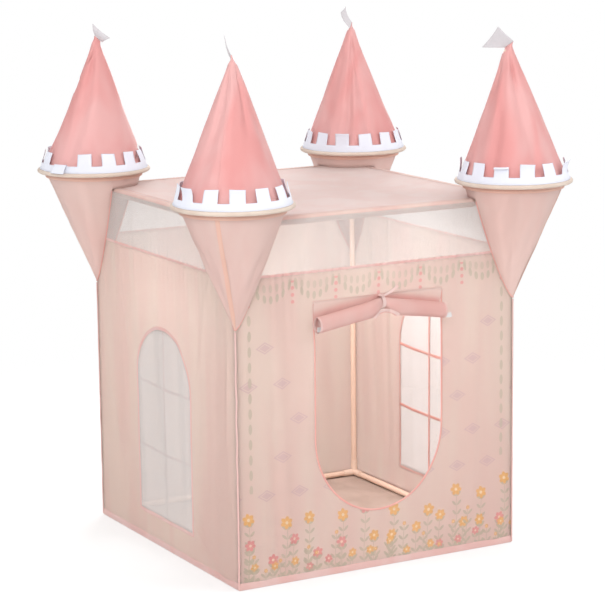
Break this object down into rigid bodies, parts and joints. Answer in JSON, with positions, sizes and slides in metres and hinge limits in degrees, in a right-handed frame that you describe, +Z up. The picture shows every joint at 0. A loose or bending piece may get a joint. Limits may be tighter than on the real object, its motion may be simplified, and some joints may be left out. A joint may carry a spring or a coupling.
{
  "type": "kids play tent",
  "caption": "Castle-shaped play tent for children: cloth walls on a push-fit tube frame, a rolled door flap, net windows and pointed corner towers.",
  "frame": {"origin": "on the floor, in the middle of the square footprint", "axes": "+Z up; the doorway is in the wall that faces -Y; +X to the right as seen from the doorway's side"},
  "size_m": [1.3748, 1.3748, 1.6827],
  "materials": {
    "tube_plastic": "satin cream",
    "joint_plastic": "moulded, satin",
    "hoop_casing": "woven cotton casing over wire",
    "wall_cloth": "fine woven polyester with a printed border",
    "roof_cloth": "fine woven polyester",
    "funnel_cloth": "sheer woven polyester",
    "cone_cloth": "satin-like woven polyester",
    "band_felt": "pressed felt",
    "flag_felt": "pressed felt",
    "net": "fine net",
    "flap_cloth": "woven polyester, rolled",
    "tie_ribbon": "ribbon",
    "floor_cloth": "woven polyester, creased"
  },
  "bodies": {
    "tent": {"base_joint_front_left": "joint_plastic", "base_joint_front_right": "joint_plastic", "base_joint_back_left": "joint_plastic", "base_joint_back_right": "joint_plastic", "base_tube_front": "tube_plastic", "base_tube_right": "tube_plastic", "base_tube_back": "tube_plastic", "base_tube_left": "tube_plastic", "lower_post_front_left": "tube_plastic", "lower_post_front_right": "tube_plastic", "lower_post_back_left": "tube_plastic", "lower_post_back_right": "tube_plastic", "upper_post_front_left": "tube_plastic", "upper_post_front_right": "tube_plastic", "upper_post_back_left": "tube_plastic", "upper_post_back_right": "tube_plastic", "roof_joint_front_left": "joint_plastic", "roof_joint_front_right": "joint_plastic", "roof_joint_back_left": "joint_plastic", "roof_joint_back_right": "joint_plastic", "roof_tube_front": "tube_plastic", "roof_tube_right": "tube_plastic", "roof_tube_back": "tube_plastic", "roof_tube_left": "tube_plastic", "tower_pole_front_left": "tube_plastic", "tower_pole_front_right": "tube_plastic", "tower_pole_back_left": "tube_plastic", "tower_pole_back_right": "tube_plastic", "hoop_front_left": "hoop_casing", "hoop_front_right": "hoop_casing", "hoop_back_left": "hoop_casing", "hoop_back_right": "hoop_casing", "cone_front_left": "cone_cloth", "cone_front_right": "cone_cloth", "cone_back_left": "cone_cloth", "cone_back_right": "cone_cloth", "crenellated_band_front_left": "band_felt", "crenellated_band_front_right": "band_felt", "crenellated_band_back_left": "band_felt", "crenellated_band_back_right": "band_felt", "flag_front_left": "flag_felt", "flag_front_right": "flag_felt", "flag_back_left": "flag_felt", "flag_back_right": "flag_felt", "funnel_front_left": "funnel_cloth", "funnel_front_right": "funnel_cloth", "funnel_back_left": "funnel_cloth", "funnel_back_right": "funnel_cloth", "wall_front": "wall_cloth", "wall_right": "wall_cloth", "wall_back": "wall_cloth", "wall_left": "wall_cloth", "window_net_left": "net", "window_net_right": "net", "roof_panel": "roof_cloth", "ground_sheet": "floor_cloth"},
    "door_roll": {"door_flap_roll": "flap_cloth", "door_tie": "tie_ribbon"}
  },
  "joints": [
    {"name": "door_roll_swing", "type": "hinge", "parent": "tent", "child": "door_roll", "pos_m": [0, -0.5021, 0.874], "axis": [-1, 0, 0], "range_deg": [0, 100]}
  ]
}
